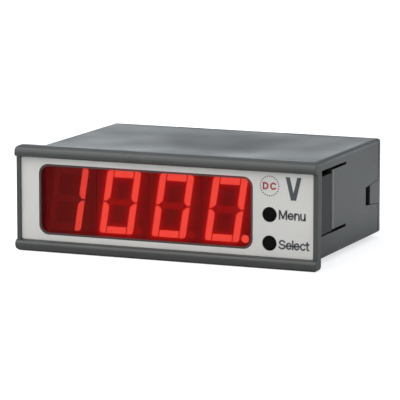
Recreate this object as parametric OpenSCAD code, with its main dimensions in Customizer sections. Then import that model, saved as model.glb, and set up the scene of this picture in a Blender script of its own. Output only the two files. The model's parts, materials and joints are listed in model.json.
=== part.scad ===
// Digital panel meter for a standard 72 x 24 mm front and a 68 x 22 mm panel cut-out.
// X runs to the right, Y runs back into the panel and Z runs up.
// The origin is the middle of the bezel's rear plane, which bears on the panel.

/* [Bezel] */
// Width of the bezel
bezel_w = 72; // [71.5:0.5:96]
// Height of the bezel
bezel_h = 24; // [23.6:0.2:36]
// Depth of the rounded rails in front of the panel
rail_d = 3.4; // [3:0.1:5]
// Height of each rail
rail_h = 2.6; // [2:0.1:2.8]
// Radius of a rail's outer curve
rail_r = 1.7; // [1.4:0.1:1.9]
// Depth of the side frames in front of the panel
frame_d = 2.3; // [2.1:0.1:2.9]
// Width of each side frame
frame_w = 1; // [0.6:0.1:2]
// How far the bezel overhangs each side of the housing
flange_side = 2.35; // [1.5:0.05:4]
// How far the bezel overhangs the top and the bottom of the housing
flange_top = 1; // [0.6:0.1:1.3]
// Radius of the bezel's corners
corner_r = 1; // [0.3:0.1:1.2]

/* [Housing] */
// Depth of the housing behind the bezel, without its rear cover
housing_d = 43.5; // [43:0.5:90]
// Thickness of the side walls
side_wall = 1.6; // [1.4:0.1:2]
// Thickness of the top and bottom walls
top_wall = 1.3; // [1:0.1:1.5]
// Thickness of the wall behind the foil
front_wall = 1.5; // [1:0.1:2]
// Radius of the housing's long edges
edge_r = 1.2; // [0.5:0.1:2]

/* [Panel grip] */
// Distance from the panel plane to the grip window
grip_y = 6.5; // [5:0.1:10]
// Length of the serrated pad
pad_l = 7.2; // [4:0.1:8]
// Length of the spring tongue behind the pad
tongue_l = 8.4; // [6:0.1:12]
// Distance from the housing's top to the grip window
grip_top = 2.15; // [1.6:0.05:4]
// Distance from the housing's bottom to the grip window
grip_bottom = 5.2; // [4.6:0.05:7]
// Width of the slots beside the tongue
slot_w = 0.65; // [0.4:0.05:1]
// How far the teeth's crests lie below the side wall's face
pad_sink = 0.35; // [0.2:0.05:0.6]
// Number of teeth on the pad
teeth = 7; // [3:1:8]
// Height of each tooth
tooth_h = 0.3; // [0.2:0.05:0.45]

/* [Front] */
// Thickness of the printed foil
foil_t = 0.3; // [0.2:0.05:0.5]
// How far the foil lies behind the side frames' front
foil_sink = 0.3; // [0.1:0.05:0.5]
// Distance from the bezel's left end to the window
window_left = 5.4; // [4.5:0.1:8]
// Height of the front wall left above and below the window
window_edge = 1.7; // [1.2:0.1:2]
// Radius of the window's corners
window_r = 2.3; // [0.5:0.1:4]
// Thickness of the filter's rim behind the front wall
filter_rim_t = 0.6; // [0.4:0.1:1]
// How far the rim reaches past the window
filter_rim_w = 0.6; // [0.4:0.1:0.8]

/* [Digits] */
// Depth of a digit block
digit_d = 8; // [6:0.5:10]
// Space between neighbouring figures
figure_gap = 4.6; // [4.3:0.1:5.7]
// Distance from the window's edge to the figures' tops and feet
figure_edge = 0.9; // [0.5:0.1:2]
// Width of a segment
segment_w = 1.5; // [1.2:0.1:1.8]
// Lean of the figures in degrees
lean = 8.7; // [0:0.1:10]
// Depth of the segments' light windows
segment_t = 0.4; // [0.2:0.1:1]
// Radius of the decimal point
point_r = 0.9; // [0.6:0.05:0.95]

/* [Buttons] */
// Radius of a button's cap
button_r = 1.6; // [1.2:0.05:1.8]
// Distance between the two buttons
button_gap = 6.3; // [5.5:0.1:7]
// Distance from the window to the buttons' middle line
button_x = 3.9; // [3.6:0.1:5]
// Distance from the side wall to the buttons' middle line
button_side = 7.3; // [3.2:0.1:8]
// Distance from the bottom wall to the lower button's middle
button_low = 3.4; // [2.5:0.1:5]
// Travel of a button
button_travel = 0.3; // [0.2:0.05:0.5]
// How far a cap stands in front of the foil
button_proud = 0.15; // [0:0.05:0.5]

/* [Boards] */
// Thickness of the circuit boards
board_t = 1.6; // [1:0.1:2]
// Gap under the main board
board_z = 1.4; // [1.1:0.1:2]

/* [Terminals] */
// Distance from one terminal to the next
pole_pitch = 5.08; // [5:0.02:7.62]
// Distance of each terminal block from the middle
block_x = 18; // [12:0.5:22]
// Height of a terminal block
block_h = 13.6; // [13.6:0.1:15]
// How far the blocks stand behind the cover
block_out = 7.5; // [7.2:0.1:10]
// Radius of a wire entry
entry_r = 1.4; // [1:0.05:1.4]
// Radius of a clamp screw's thread
screw_r = 1.25; // [1:0.05:1.3]
// Rise of a clamp cage from open to closed
cage_rise = 2.7; // [2:0.1:2.8]

/* [Rear cover] */
// Thickness of the rear cover
cover_t = 2.5; // [1.5:0.1:3]
// Length of the cover's side latches
latch_l = 5.4; // [4:0.1:7]
// Height of a latch at its tip
latch_h = 4.4; // [3:0.1:6]
// Height of the latches' middle above the housing's middle
latch_z = -1.1; // [-1.5:0.1:1]

/* [Hidden] */
$fn = 48;

over = 0.1;          // how far a cutter runs past the face that it cuts
seat_gap = 0.1;      // between stacked pieces and round sliding fits in depth
board_gap = 0.15;    // between a board's edge and the walls
running_gap = 0.08;  // radial clearance of a button or plunger in its hole

// Housing and cavity
housing_w = bezel_w - 2 * flange_side;
housing_h = bezel_h - 2 * flange_top;
inner_w = housing_w - 2 * side_wall;
inner_h = housing_h - 2 * top_wall;
cavity_r = 0.5;
rear_y = housing_d;
end_y = rear_y + cover_t;

// Front stack, from the foil's face back to the digits
foil_y = foil_sink - frame_d;
wall_y = foil_y + foil_t;
cavity_y = wall_y + front_wall;
filter_y = cavity_y + filter_rim_t;
digit_y = filter_y + seat_gap;
board_y = digit_y + digit_d;
board_back = board_y + board_t;

// Window and digits
digits = 4;
block_side_gap = 0.1;
row_gap = 0.3;       // from the row of blocks to each end of the window
key_x = inner_w / 2 - button_side;
window_end = key_x - button_x;
window_w = window_end - (window_left - bezel_w / 2);
window_h = inner_h - 2 * window_edge;
window_x = window_end - window_w / 2;
filter_gap = 0.15;
digit_pitch = (window_w - 2 * row_gap) / digits;
digit_w = digit_pitch - 2 * block_side_gap;
digit_h = inner_h - 2 * seat_gap;
figure_w = digit_pitch - figure_gap;
figure_h = window_h - 2 * figure_edge;
figure_x = -0.6;     // the figure stands left of its block's middle, clear of the point
point_x = 1.4;       // from a figure's foot to the point beside it
point_z = 0.85;
figure_r = 0.7;      // rounding of a figure's outer corners
middle_gap = 0.4;    // between an upper and a lower upright segment
joint_gap = 0.25;    // between neighbouring segments
pin_r = 0.25;
pin_hole_r = 0.4;
pin_pitch = 2.54;
pin_row = 7.62;      // from a block's middle to each row of pins
pin_tail = 1;        // what a pin shows behind its board

// Buttons and switches
low_key_z = button_low - inner_h / 2;
key_hole_r = button_r + running_gap;
key_rim_w = 0.65;    // rim that keeps a cap behind the wall
key_rim_r = button_r + key_rim_w;
key_rim_t = 0.8;
stem_r = 1.1;
switch_s = 4.5;
switch_d = 3.4;
plunger_out = 1;
plunger_in = 1;
switch_y = board_y - switch_d;
function key_z(n) = low_key_z + (1 - n) * button_gap;

// Main board, on its ledges
board_bottom = board_z - inner_h / 2;
board_top = board_bottom + board_t;
main_gap = 0.4;      // between the display board's pins and the main board
main_front = board_back + pin_tail + main_gap;
board_short = 1.6;   // how far the main board ends in front of the cover
board_end = rear_y - board_short;
main_w = inner_w - 4 * board_gap;
ledge_w = 1.5;
ledge_h = 0.7;

// Terminal blocks
poles = 2;
block_in = 5.5;      // how far the blocks reach in front of the cover
block_back = end_y + block_out;
block_front = rear_y - block_in;
block_top = board_top + block_h;
block_w = poles * pole_pitch;
block_bevel = 1.4;
entry_l = 1;         // straight length of a wire entry behind its funnel
pole_in = 4.2;       // from the blocks' rear faces to the clamp screws
pole_y = block_back - pole_in;
cage_gap = 0.1;
cage_w = 4.2;
cage_d = 5;
cage_side = (cage_w - 2 * entry_r) / 2 - cage_gap;
cage_floor_t = 0.9;
cage_roof_t = 1.2;
bar_t = 0.8;
bar_w = 2.6;
bar_gap = 0.2;       // between the open cage's roof and the bar
wire_up = 4.7;       // height of the wire entries above the board
wire_z = board_top + wire_up;
bar_z = wire_z + entry_r + cage_gap;
bar_top = bar_z + bar_t;
cage_floor_z = wire_z - entry_r - cage_gap;
cage_roof_z = bar_top + bar_gap;
chamber_floor = cage_floor_z - cage_floor_t - cage_gap;
chamber_top = cage_roof_z + cage_roof_t + cage_rise + cage_gap;
tail_in = 1.6;       // from the blocks' front faces to the soldered tails
tail_y = block_front + tail_in;
tail_w = 1;
head_r = 1.9;
head_t = 1.5;
drive_r = 1.6;
well_gap = 0.08;

// Rear cover
cover_r = min(edge_r, cover_t - 0.3);
plug_l = 1.2;
plug_t = 1.2;
plug_gap = 0.15;
opening_gap = 0.2;
latch_gap = 0.15;
latch_tip_gap = 2.9; // open window in front of a latch's tip
latch_flare = 0.09;  // how much a latch widens on each side for each millimetre
latch_t = 0.85;      // thickness of the latch that shows
web_l = 4;           // wall left behind the latch, which its hook catches
hook_t = 0.6;
hook_l = 1.2;
pry_x = 13.3;
pry_w = 6;
pry_d = 0.5;
pry_l = 0.9;
seam = 0.25;         // groove that marks where the cover meets the housing

// Rounded rectangle about the middle
module rounded(w, h, r) {
    square([w - 2 * r, h], center = true);
    square([w, h - 2 * r], center = true);
    for (x = [-1, 1], y = [-1, 1])
        translate([x * (w / 2 - r), y * (h / 2 - r)]) circle(r);
}

// Rounded slab upright in the X-Z plane, from one depth to another
module slab(w, h, r, from, to) {
    translate([0, to, 0]) rotate([90, 0, 0]) linear_extrude(to - from) rounded(w, h, r);
}

// Box from its low corner to its high corner
module box(low, high) {
    translate(low) cube(high - low);
}

// Cylinder along Y, from one depth to another
module rod(x, z, r, from, to) {
    translate([x, to, z]) rotate([90, 0, 0]) cylinder(h = to - from, r = r);
}

// Section of a rail, down from its outer back corner: a wide outer curve, a tighter inner one
// and a soft back edge
module rail_section() {
    inner_r = rail_h - rail_r;
    back_r = 0.6;
    intersection() {
        translate([-rail_d, -rail_r]) square([rail_d, rail_r]);
        union() {
            translate([rail_r - rail_d, -rail_r]) circle(rail_r);
            translate([-back_r, -back_r]) circle(back_r);
            translate([rail_r - rail_d, -rail_r]) square([rail_d - rail_r - back_r, rail_r]);
            translate([rail_r - rail_d, -rail_r]) square([rail_d - rail_r, rail_r - back_r]);
        }
    }
    translate([inner_r - rail_d, -rail_r]) circle(inner_r);
    translate([inner_r - rail_d, -rail_h]) square([rail_d - inner_r, inner_r + over]);
}

module rail(side) {
    mirror([0, 0, side]) translate([-bezel_w / 2, 0, bezel_h / 2]) rotate([90, 0, 90])
        linear_extrude(bezel_w) rail_section();
}

module bezel() {
    opening = bezel_h / 2 - rail_h;
    intersection() {
        slab(bezel_w, bezel_h, corner_r, -rail_d, 0);
        for (side = [0, 1]) rail(side);
    }
    difference() {
        box([-bezel_w / 2, -frame_d, -opening - over], [bezel_w / 2, 0, opening + over]);
        box([frame_w - bezel_w / 2, -frame_d - over, -opening], [bezel_w / 2 - frame_w, wall_y, opening]);
    }
}

// The window and the two button holes, cut through from one depth to another
module front_openings(from, to) {
    translate([window_x, 0, 0]) slab(window_w, window_h, window_r, from, to);
    for (n = [0, 1]) rod(key_x, key_z(n), key_hole_r, from, to);
}

// Window in the right wall for the grip, with what is left of it standing as a spring tongue
module grip_cut() {
    pad_gap = 0.2;
    low = grip_bottom - housing_h / 2;
    high = housing_h / 2 - grip_top;
    inside = inner_w / 2 - over;
    outside = housing_w / 2 + over;
    difference() {
        box([inside, grip_y, low], [outside, grip_y + pad_l + tongue_l, high]);
        box([inside - over, grip_y + pad_l, low + slot_w],
            [outside + over, grip_y + pad_l + tongue_l + over, high - slot_w]);
        pad(low + pad_gap, high - 2.3 * slot_w);
    }
}

// Serrated pad at the tongue's free end, which the panel clip's pawl bites on
module pad(low, high) {
    crest_x = housing_w / 2 - pad_sink;
    root = crest_x - tooth_h;
    inside = inner_w / 2 - 2 * over;
    pitch = (pad_l - slot_w / 2) / teeth;
    start = grip_y + slot_w / 2;
    end = grip_y + pad_l + over;
    crest = 0.8;
    outline = [for (n = [0 : teeth - 1]) each
        [[root, start + n * pitch], [crest_x, start + (n + crest) * pitch]]];
    translate([0, 0, low]) linear_extrude(high - low)
        polygon(concat(outline, [[crest_x, end], [inside, end], [inside, start]]));
}

// Outline of a latch or its notch in the Y-Z plane, seen along X and widening to the rear
module latch_outline(from, to, gap) {
    half_from = latch_h / 2 + gap + latch_flare * (from - (rear_y - latch_l));
    half_to = latch_h / 2 + gap + latch_flare * (to - (rear_y - latch_l));
    polygon([[from, latch_z - half_from], [to, latch_z - half_to], [to, latch_z + half_to],
        [from, latch_z + half_from]]);
}

// A latch outline given thickness along X
module latch_slab(x0, x1, from, to, gap) {
    translate([x0, 0, 0]) rotate([90, 0, 90]) linear_extrude(x1 - x0) latch_outline(from, to, gap);
}

// Notch in the right wall for a cover latch: a window in front and a thin web behind
module latch_cut() {
    outside = housing_w / 2 + over;
    floor_x = housing_w / 2 - latch_t - latch_gap;
    window_y = rear_y - latch_l - latch_tip_gap;
    latch_slab(floor_x, outside, window_y, rear_y + over, latch_gap);
    latch_slab(inner_w / 2 - over, outside, window_y, rear_y - web_l, latch_gap);
}

module board_ledges() {
    wall = inner_w / 2 + over;
    tip = inner_w / 2 - ledge_w;
    for (side = [0, 1]) mirror([side, 0, 0]) {
        box([tip, main_front, -inner_h / 2 - over], [wall, board_end, board_bottom]);
        box([tip, main_front, board_top + seat_gap], [wall, board_end, board_top + seat_gap + ledge_h]);
    }
}

module housing() {
    color("dimgray") {
        difference() {
            union() {
                bezel();
                slab(housing_w, housing_h, edge_r, -over, rear_y);
            }
            slab(inner_w, inner_h, cavity_r, cavity_y, rear_y + over);
            front_openings(-rail_d, cavity_y + over);
            for (side = [0, 1]) mirror([side, 0, 0]) {
                grip_cut();
                latch_cut();
            }
        }
        board_ledges();
    }
}

module front_foil() {
    edge_gap = 0.05;
    w = bezel_w - 2 * frame_w - 2 * edge_gap;
    h = bezel_h - 2 * rail_h - 2 * edge_gap;
    color("silver") difference() {
        slab(w, h, 0.3, foil_y, wall_y);
        front_openings(foil_y - over, wall_y + over);
    }
}

module display_filter() {
    color([0.5, 0.04, 0.04]) translate([window_x, 0, 0]) {
        slab(window_w - 2 * filter_gap, window_h - 2 * filter_gap, window_r - filter_gap,
            foil_y + seat_gap, filter_y);
        slab(window_w + 2 * filter_rim_w, window_h + 2 * filter_rim_w, window_r + filter_rim_w,
            cavity_y, filter_y);
    }
}

// Button cap with a rim behind the wall and a stem that reaches the switch plunger
module button(n) {
    z = key_z(n);
    edge = 0.25;
    tip = foil_y - button_proud;
    rim_back = cavity_y + seat_gap + key_rim_t;
    color([0.05, 0.05, 0.05]) {
        translate([key_x, tip, z]) rotate([-90, 0, 0])
            cylinder(h = edge, r1 = button_r - edge, r2 = button_r);
        rod(key_x, z, button_r, tip + edge, rim_back);
        rod(key_x, z, key_rim_r, rim_back - key_rim_t, rim_back);
        rod(key_x, z, stem_r, tip + edge / 2, switch_y - plunger_out);
    }
}

module plunger(n) {
    color("black") rod(key_x, key_z(n), stem_r, switch_y - plunger_out, switch_y + plunger_in);
}

// Push switch with its plunger's bore, four soldered legs and a chamfered lid
module switch(n) {
    half = switch_s / 2;
    leg_w = 0.7;
    leg_t = 0.3;
    leg_l = 1.4;
    leg_z = 1.4;
    deep = plunger_in + button_travel + 0.2;
    color([0.25, 0.25, 0.27]) translate([key_x, 0, key_z(n)]) {
        difference() {
            slab(switch_s, switch_s, 0.3, switch_y, board_y);
            rod(0, 0, stem_r + running_gap, switch_y - over, switch_y + deep);
        }
        for (side = [0, 1], level = [-1, 1]) mirror([side, 0, 0])
            box([half - over, board_y - leg_l, level * leg_z - leg_w / 2],
                [half + leg_t, board_y, level * leg_z + leg_w / 2]);
    }
}

function lean_over(p) = [p[0] + p[1] * tan(lean), p[1]];

// Upright segment beside the figure's right side, above the middle
function upright() = let (w = figure_w / 2, h = figure_h / 2, t = segment_w, m = middle_gap / 2)
    concat([[w - 0.45 * t, m], [w, m]],
        [for (a = [0 : 15 : 90]) [w - figure_r + figure_r * cos(a), h - figure_r + figure_r * sin(a)]],
        [[w - t, h], [w - t, m + 0.55 * t]]);

// Bar across the figure's top, between the uprights
function cross_bar() = let (w = figure_w / 2 - segment_w - joint_gap, h = figure_h / 2)
    [[-w, h - segment_w], [w, h - segment_w], [w, h], [-w, h]];

// Bar across the figure's middle, pointed at both ends
function middle_bar() = let (t = segment_w / 2,
        w = figure_w / 2 + middle_gap / 2 - 0.45 * segment_w - sqrt(2) * joint_gap)
    [[-w, 0], [t - w, -t], [w - t, -t], [w, 0], [w - t, t], [t - w, t]];

// Segments are named as on any seven-segment figure: a at the top, then clockwise, g in the middle
module segment(name) {
    right = name == "b" || name == "c";
    low = name == "c" || name == "d" || name == "e";
    points = name == "g" ? middle_bar() : name == "a" || name == "d" ? cross_bar() : upright();
    flip_x = name == "e" || name == "f" ? -1 : 1;
    flip_z = low ? -1 : 1;
    if (name == "point")
        translate(lean_over([figure_w / 2 + point_x, point_z - figure_h / 2])) circle(point_r);
    else
        polygon([for (p = points) lean_over([flip_x * p[0], flip_z * p[1]])]);
}

function digit_x(n) = window_x + (n - (digits + 1) / 2) * digit_pitch;

// Light windows of one digit, sunk into its block's face
module segments(n, names, past = 0) {
    for (name = names)
        translate([digit_x(n) + figure_x, digit_y + segment_t, 0]) rotate([90, 0, 0])
            linear_extrude(segment_t + past) segment(name);
}

all_segments = ["a", "b", "c", "d", "e", "f", "g", "point"];
lit = [["b", "c"], ["a", "b", "c", "d", "e", "f"], ["a", "b", "c", "d", "e", "f"],
    ["a", "b", "c", "d", "e", "f", "point"]];

function is_lit(n, name) = len([for (s = lit[n - 1]) if (s == name) s]) > 0;

module digit_block(n) {
    color([0.16, 0.07, 0.07]) difference() {
        translate([digit_x(n), 0, 0]) slab(digit_w, digit_h, 0.3, digit_y, board_y);
        segments(n, all_segments, over);
    }
}

module lit_segments(n) {
    color("red") segments(n, lit[n - 1]);
}

module dark_segments(n) {
    color([0.35, 0.08, 0.08]) segments(n, [for (s = all_segments) if (!is_lit(n, s)) s]);
}

// Places children at the ten pins of every digit block
module at_digit_pins() {
    for (n = [1 : digits], k = [-2 : 2], row = [-1, 1])
        translate([digit_x(n) + k * pin_pitch, 0, row * pin_row]) children();
}

module digit_pins() {
    color("silver") at_digit_pins() rod(0, 0, pin_r, board_y, board_back + pin_tail);
}

module display_board() {
    color("darkgreen") difference() {
        slab(inner_w - 2 * board_gap, inner_h - 2 * board_gap, 0.4, board_y, board_back);
        at_digit_pins() rod(0, 0, pin_hole_r, board_y - over, board_back + over);
    }
}

// Right-angle link between the display board and the main board
link_count = 10;
link_half = 1.25;    // half the header's depth and height
link_y = board_back + link_half + 1.95;
link_z = board_top + link_half;
link_w = 0.64;
function link_x(k) = (k - (link_count - 1) / 2) * pin_pitch;

module link_header() {
    color([0.1, 0.1, 0.1]) difference() {
        box([link_x(0) - pin_pitch / 2, link_y - link_half, board_top],
            [link_x(link_count - 1) + pin_pitch / 2, link_y + link_half, link_z + link_half]);
        for (k = [0 : link_count - 1]) link_pin(k);
    }
}

module link_pin(k) {
    half = link_w / 2;
    translate([link_x(k), 0, 0]) {
        box([-half, board_back, link_z - half], [half, link_y + half, link_z + half]);
        box([-half, link_y - half, board_bottom - pin_tail], [half, link_y + half, link_z]);
    }
}

module link_pins() {
    color("gold") for (k = [0 : link_count - 1]) link_pin(k);
}

// Places children on the main board's top
module on_board(x, y) {
    translate([x, y, board_top]) children();
}

chip_stand = 0.2;    // gap under a chip's body
controller_size = [12.8, 7.5, 2.3];
controller_front = 17;
controller_y = board_back + controller_front;
amplifier_size = [4.9, 3.9, 1.5];
amplifier_x = 9;
amplifier_back = 5.8;
amplifier_y = board_end - amplifier_back;
crystal_size = [10.2, 3.7, 3.4];
crystal_step = 8.5;
module_size = [6, 19.5, 9.8];
module_front = 12;
module_pos = [-block_x, board_back + module_front];
module_pins = [-3, -2, 1, 3];
cap_x = -9.5;
cap_front = 8;
cap_back = 7.8;
cap_pos = [[cap_x, board_back + cap_front], [cap_x, board_end - cap_back]];
cap_r = 3.15;
cap_h = 9;
cap_lead = 1.25;
lead_r = 0.3;
lead_hole_r = 0.42;
resistor_l = 6.5;
resistor_front = 13;
resistor_edge = 9.6;
resistor_pitch = 4;
resistor_x = [for (n = [2, 1, 0]) main_w / 2 - resistor_edge - n * resistor_pitch];
resistor_y = board_back + resistor_front;
resistor_span = 12.7;
resistor_lift = 1.5;

module main_board() {
    color("darkgreen") difference() {
        box([-main_w / 2, main_front, board_bottom], [main_w / 2, board_end, board_top]);
        for (k = [0 : link_count - 1]) board_hole(link_x(k), link_y, 0.5);
        for (k = module_pins) board_hole(module_pos[0], module_pos[1] + k * pin_pitch, lead_hole_r);
        for (p = cap_pos, side = [-1, 1]) board_hole(p[0] + side * cap_lead, p[1], lead_hole_r);
        for (x = resistor_x, side = [-1, 1])
            board_hole(x, resistor_y + side * resistor_span / 2, lead_hole_r);
        for (n = [1 : 4]) board_hole(pole_x(n), tail_y, 0.75);
    }
}

module board_hole(x, y, r) {
    translate([x, y, board_bottom - over]) cylinder(h = board_t + 2 * over, r = r);
}

// Flat-pack chip body, bevelled along its pin sides
module chip(size) {
    l = size[0];
    w = size[1];
    h = size[2];
    stand = chip_stand;
    bevel = 0.25;
    rotate([90, 0, 90]) translate([0, 0, -l / 2]) linear_extrude(l)
        polygon([[bevel - w / 2, stand], [w / 2 - bevel, stand], [w / 2, stand + h / 2],
            [w / 2 - bevel, stand + h], [bevel - w / 2, stand + h], [-w / 2, stand + h / 2]]);
}

// Two rows of bent leads beside a chip
module chip_leads(count, size) {
    w = size[1];
    mid = chip_stand + size[2] / 2;
    t = 0.2;
    foot = 0.8;
    reach = 1.5;
    lead_w = 0.4;
    for (side = [0, 1], k = [0 : count / 2 - 1])
        mirror([0, side, 0]) translate([(k - (count / 2 - 1) / 2) * pin_pitch / 2 - lead_w / 2, 0, 0])
            rotate([90, 0, 90]) linear_extrude(lead_w)
                polygon([[w / 2, mid], [w / 2 + reach - foot, mid], [w / 2 + reach - foot, t],
                    [w / 2 + reach, t], [w / 2 + reach, 0], [w / 2 + reach - foot - t, 0],
                    [w / 2 + reach - foot - t, mid - t], [w / 2, mid - t]]);
}

module controller_chip() {
    color([0.08, 0.08, 0.08]) on_board(0, controller_y) chip(controller_size);
}

module controller_leads() {
    color("silver") on_board(0, controller_y) chip_leads(20, controller_size);
}

module amplifier_chip() {
    color([0.08, 0.08, 0.08]) on_board(amplifier_x, amplifier_y) chip(amplifier_size);
}

module amplifier_leads() {
    color("silver") on_board(amplifier_x, amplifier_y) chip_leads(8, amplifier_size);
}

// Crystal can with its rolled foot
module crystal() {
    s = crystal_size;
    foot = 0.5;
    rim = 1;
    color("silver") on_board(0, controller_y - crystal_step) {
        linear_extrude(foot) rounded(s[0] + rim, s[1] + rim, (s[1] + rim) / 2 - 0.01);
        linear_extrude(s[2]) rounded(s[0], s[1], s[1] / 2 - 0.01);
    }
}

module supply_module() {
    s = module_size;
    color([0.1, 0.1, 0.12]) on_board(module_pos[0], module_pos[1])
        linear_extrude(s[2]) rounded(s[0], s[1], 0.4);
}

module supply_module_pins() {
    color("silver") for (k = module_pins)
        translate([module_pos[0], module_pos[1] + k * pin_pitch, board_bottom - pin_tail])
            cylinder(h = board_t + pin_tail, r = lead_r);
}

// Can with a rubber end, a rolled groove and a rounded top
module capacitor(n) {
    groove = 0.35;
    top_r = 0.6;
    p = cap_pos[n - 1];
    color([0.12, 0.14, 0.3]) on_board(p[0], p[1]) rotate_extrude() polygon(concat(
        [[0, 0], [cap_r - 0.3, 0], [cap_r, 0.3], [cap_r, 1.2], [cap_r - groove, 1.6], [cap_r, 2]],
        [for (a = [0 : 30 : 90]) [cap_r - top_r + top_r * cos(a), cap_h - top_r + top_r * sin(a)]],
        [[0, cap_h]]));
}

module capacitor_leads() {
    color("silver") for (p = cap_pos, side = [-1, 1])
        translate([p[0] + side * cap_lead, p[1], board_bottom - pin_tail])
            cylinder(h = board_t + pin_tail, r = lead_r);
}

// Resistor body with swollen ends, lying along Y
module divider_resistor(n) {
    l = resistor_l;
    color([0.35, 0.5, 0.65]) on_board(resistor_x[n - 1], resistor_y)
        translate([0, l / 2, resistor_lift]) rotate([90, 0, 0]) difference() {
            rotate_extrude() polygon([[0, 0], [0.9, 0], [1.2, 0.3], [1.2, 1.3], [1, 1.7], [1, l - 1.7],
                [1.2, l - 1.3], [1.2, l - 0.3], [0.9, l], [0, l]]);
            translate([0, 0, -over]) cylinder(h = l + 2 * over, r = lead_r);
        }
}

module divider_leads() {
    half = resistor_span / 2;
    color("silver") for (x = resistor_x) on_board(x, resistor_y) {
        translate([0, half, resistor_lift]) rotate([90, 0, 0]) cylinder(h = resistor_span, r = lead_r);
        for (side = [-1, 1]) translate([0, side * half, 0]) {
            translate([0, 0, -board_t - pin_tail])
                cylinder(h = board_t + pin_tail + resistor_lift, r = lead_r);
            translate([0, 0, resistor_lift]) sphere(r = lead_r);
        }
    }
}

// Poles 1 and 2 take the supply, on the left seen from the front, and 3 and 4 the measured voltage
function pole_x(n) = (n < 3 ? -1 : 1) * block_x + (n % 2 == 1 ? -1 : 1) * pole_pitch / 2;

// Space inside a block for one pole: cage chamber, wire entry, screw well and contact bar
module pole_cut(n) {
    x = pole_x(n);
    half_w = cage_w / 2 + cage_gap;
    half_d = cage_d / 2 + cage_gap;
    funnel = block_back - pole_y - half_d - entry_l;
    box([x - half_w, pole_y - half_d, chamber_floor], [x + half_w, pole_y + half_d, chamber_top]);
    rod(x, wire_z, entry_r, pole_y + half_d - over, block_back + over);
    translate([x, block_back - funnel, wire_z]) rotate([-90, 0, 0])
        cylinder(h = funnel + over, r1 = entry_r, r2 = entry_r + 0.6);
    translate([x, pole_y, chamber_top - over])
        cylinder(h = head_t + 2 * well_gap + over, r = head_r + well_gap);
    translate([x, pole_y, chamber_top]) cylinder(h = block_top, r = drive_r);
    bar_shape(n, 0.05);
}

// Contact bar from the clamp forward and down through the board
module bar_shape(n, gap) {
    back = pole_y + cage_d / 2 - 0.4;
    half_bar = bar_w / 2 + gap;
    half_tail = tail_w / 2 + gap;
    translate([pole_x(n), 0, 0]) {
        box([-half_bar, tail_y - half_tail, bar_z - gap], [half_bar, back, bar_top + gap]);
        box([-half_tail, tail_y - half_tail, board_bottom - pin_tail],
            [half_tail, tail_y + half_tail, bar_top]);
    }
}

module terminal_block(first) {
    x = (pole_x(first) + pole_x(first + 1)) / 2;
    color([0.1, 0.1, 0.11]) difference() {
        box([x - block_w / 2, block_front, board_top], [x + block_w / 2, block_back, block_top]);
        for (n = [first, first + 1]) pole_cut(n);
        translate([x, block_back, block_top]) rotate([45, 0, 0])
            cube([block_w + 2 * over, block_bevel, block_bevel], center = true);
    }
}

module contact_bar(n) {
    color("silver") bar_shape(n, 0);
}

// Clamp cage, drawn open, that rises with the wire as its screw turns
module clamp_cage(n) {
    x = pole_x(n);
    low = cage_floor_z - cage_floor_t;
    high = cage_roof_z + cage_roof_t;
    color("goldenrod") difference() {
        box([x - cage_w / 2, pole_y - cage_d / 2, low], [x + cage_w / 2, pole_y + cage_d / 2, high]);
        box([x - cage_w / 2 + cage_side, pole_y - cage_d, cage_floor_z],
            [x + cage_w / 2 - cage_side, pole_y + cage_d, cage_roof_z]);
        translate([x, pole_y, cage_floor_z]) cylinder(h = high - cage_floor_z + over, r = screw_r + 0.05);
    }
}

// Captive clamp screw with a driver slot, its tip just clear of the contact bar
module terminal_screw(n) {
    tip = bar_top + 0.05;
    head = chamber_top + well_gap;
    bevel = 0.2;
    color("lightgray") translate([pole_x(n), pole_y, 0]) difference() {
        union() {
            translate([0, 0, tip]) cylinder(h = head + head_t - bevel / 2 - tip, r = screw_r);
            translate([0, 0, head]) cylinder(h = head_t - bevel, r = head_r);
            translate([0, 0, head + head_t - bevel]) cylinder(h = bevel, r1 = head_r, r2 = head_r - bevel);
        }
        translate([-head_r - over, -0.35, head + head_t - 0.8]) cube([2 * head_r + 2 * over, 0.7, 1]);
    }
}

// Cover plate seen edge-on, with its two rear corners rounded
module plate_outline(w) {
    translate([-w / 2, rear_y]) square([w, cover_t - cover_r]);
    translate([cover_r - w / 2, rear_y]) square([w - 2 * cover_r, cover_t]);
    for (side = [-1, 1]) translate([side * (w / 2 - cover_r), end_y - cover_r]) circle(cover_r);
}

module cover_plate() {
    slab(housing_w - 2 * seam, housing_h - 2 * seam, edge_r - seam, rear_y, end_y - cover_t / 2);
    intersection() {
        slab(housing_w, housing_h, edge_r, rear_y + seam, end_y);
        translate([0, 0, -housing_h / 2]) linear_extrude(housing_h) plate_outline(housing_w);
        translate([-housing_w / 2, 0, 0]) rotate([90, 0, 90])
            linear_extrude(housing_w) mirror([1, -1]) plate_outline(housing_h);
    }
}

// Side latch with a hook that drops into the window and catches the web
module cover_latch() {
    tip = rear_y - latch_l;
    face = housing_w / 2;
    hook_y = rear_y - web_l - latch_gap;
    latch_slab(face - latch_t, face, tip, rear_y + seam + over, 0);
    latch_slab(face - latch_t - hook_t, face - latch_t / 2, hook_y - hook_l, hook_y, 0);
}

module rear_cover() {
    w = inner_w - 2 * plug_gap;
    h = inner_h - 2 * plug_gap;
    color("dimgray") difference() {
        union() {
            difference() {
                cover_plate();
                for (side = [-1, 1]) translate([side * pry_x, 0, housing_h / 2])
                    box([-pry_w / 2, rear_y - over, -pry_d], [pry_w / 2, rear_y + pry_l, over]);
            }
            slab(w, h, cavity_r, rear_y - plug_l, rear_y + over);
            for (side = [0, 1]) mirror([side, 0, 0]) cover_latch();
        }
        slab(w - 2 * plug_t, h - 2 * plug_t, cavity_r, rear_y - plug_l - over, rear_y);
        for (side = [-1, 1]) translate([side * block_x, 0, 0])
            box([-block_w / 2 - opening_gap, rear_y - plug_l - over, board_top - opening_gap],
                [block_w / 2 + opening_gap, end_y + over, block_top + opening_gap]);
    }
}

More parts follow.
